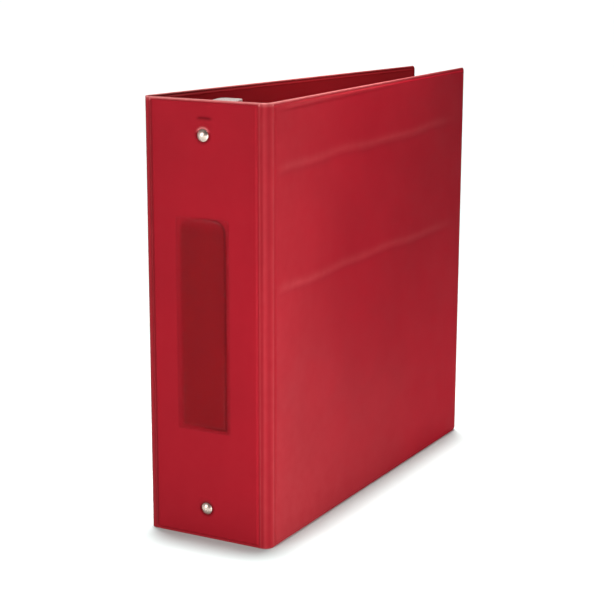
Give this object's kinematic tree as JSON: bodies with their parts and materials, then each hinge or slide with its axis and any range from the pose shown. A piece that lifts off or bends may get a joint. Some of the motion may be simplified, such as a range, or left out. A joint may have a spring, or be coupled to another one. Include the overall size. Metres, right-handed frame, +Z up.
{
  "type": "ring binder",
  "caption": "Upright office file with stiff vinyl-covered covers, a wide riveted spine with a label holder, and snap rings opened by levers inside.",
  "frame": {"origin": "middle of the spine's bottom edge, on the middle plane of the spine panel", "axes": "+Z up along the spine, -Y out of the spine's face, +X towards the front cover"},
  "size_m": [0.1001, 0.3026, 0.2921],
  "materials": {
    "cover_vinyl": "satin, fine leather grain, heat sealed",
    "lining_vinyl": "satin, fine grain",
    "pocket_vinyl": "smooth, slightly glossy",
    "label_film": "clear glossy film over the red vinyl",
    "board": "grey-brown chipboard",
    "plated_steel": "nickel plated sheet",
    "ring_wire": "nickel plated wire",
    "bright_steel": "nickel plated"
  },
  "bodies": {
    "spine": {"spine_board": "board", "spine_outer_vinyl": "cover_vinyl", "spine_inner_vinyl": "lining_vinyl", "spine_label_holder": "label_film", "front_hinge_strip": "cover_vinyl", "back_hinge_strip": "cover_vinyl", "ring_housing": "plated_steel", "top_lever_pin": "bright_steel", "bottom_lever_pin": "bright_steel", "top_rivet": "bright_steel", "bottom_rivet": "bright_steel", "top_rivet_post": "bright_steel", "bottom_rivet_post": "bright_steel"},
    "front_cover": {"front_board": "board", "front_outer_vinyl": "cover_vinyl", "front_inner_vinyl": "lining_vinyl", "front_inside_pocket": "pocket_vinyl"},
    "back_cover": {"back_board": "board", "back_outer_vinyl": "cover_vinyl", "back_inner_vinyl": "lining_vinyl", "back_inside_pocket": "pocket_vinyl"},
    "front_rail": {"front_ring_rail": "bright_steel", "front_top_half_ring": "ring_wire", "front_middle_half_ring": "ring_wire", "front_bottom_half_ring": "ring_wire"},
    "back_rail": {"back_ring_rail": "bright_steel", "back_top_half_ring": "ring_wire", "back_middle_half_ring": "ring_wire", "back_bottom_half_ring": "ring_wire"},
    "top_lever": {"top_lever": "plated_steel"},
    "bottom_lever": {"bottom_lever": "plated_steel"}
  },
  "joints": [
    {"name": "front_cover_hinge", "type": "hinge", "parent": "spine", "child": "front_cover", "pos_m": [0.0448, 0.00116, 0.146], "axis": [0, 0, -1], "range_deg": [-6, 88.8], "deforming": ["front_hinge_strip"]},
    {"name": "back_cover_hinge", "type": "hinge", "parent": "spine", "child": "back_cover", "pos_m": [-0.0448, 0.00134, 0.146], "axis": [0, 0, 1], "range_deg": [0, 101.5], "deforming": ["back_hinge_strip"]},
    {"name": "ring_opening", "type": "hinge", "parent": "spine", "child": "front_rail", "pos_m": [0.013, 0.0056, 0.1454], "axis": [0, 0, -1], "range_deg": [0, 7]},
    {"name": "back_ring_opening", "type": "hinge", "parent": "spine", "child": "back_rail", "pos_m": [-0.013, 0.0056, 0.1454], "axis": [0, 0, 1], "range_deg": [0, 7]},
    {"name": "top_lever_turn", "type": "hinge", "parent": "spine", "child": "top_lever", "pos_m": [0, 0.0056, 0.2804], "axis": [1, 0, 0], "range_deg": [0, 18]},
    {"name": "bottom_lever_turn", "type": "hinge", "parent": "spine", "child": "bottom_lever", "pos_m": [0, 0.0056, 0.0104], "axis": [-1, 0, 0], "range_deg": [0, 18]}
  ],
  "couplings": [
    {"joint": "back_ring_opening", "follows": "ring_opening", "ratio": 1},
    {"joint": "top_lever_turn", "follows": "ring_opening", "ratio": 2.5714},
    {"joint": "bottom_lever_turn", "follows": "ring_opening", "ratio": 2.5714}
  ]
}
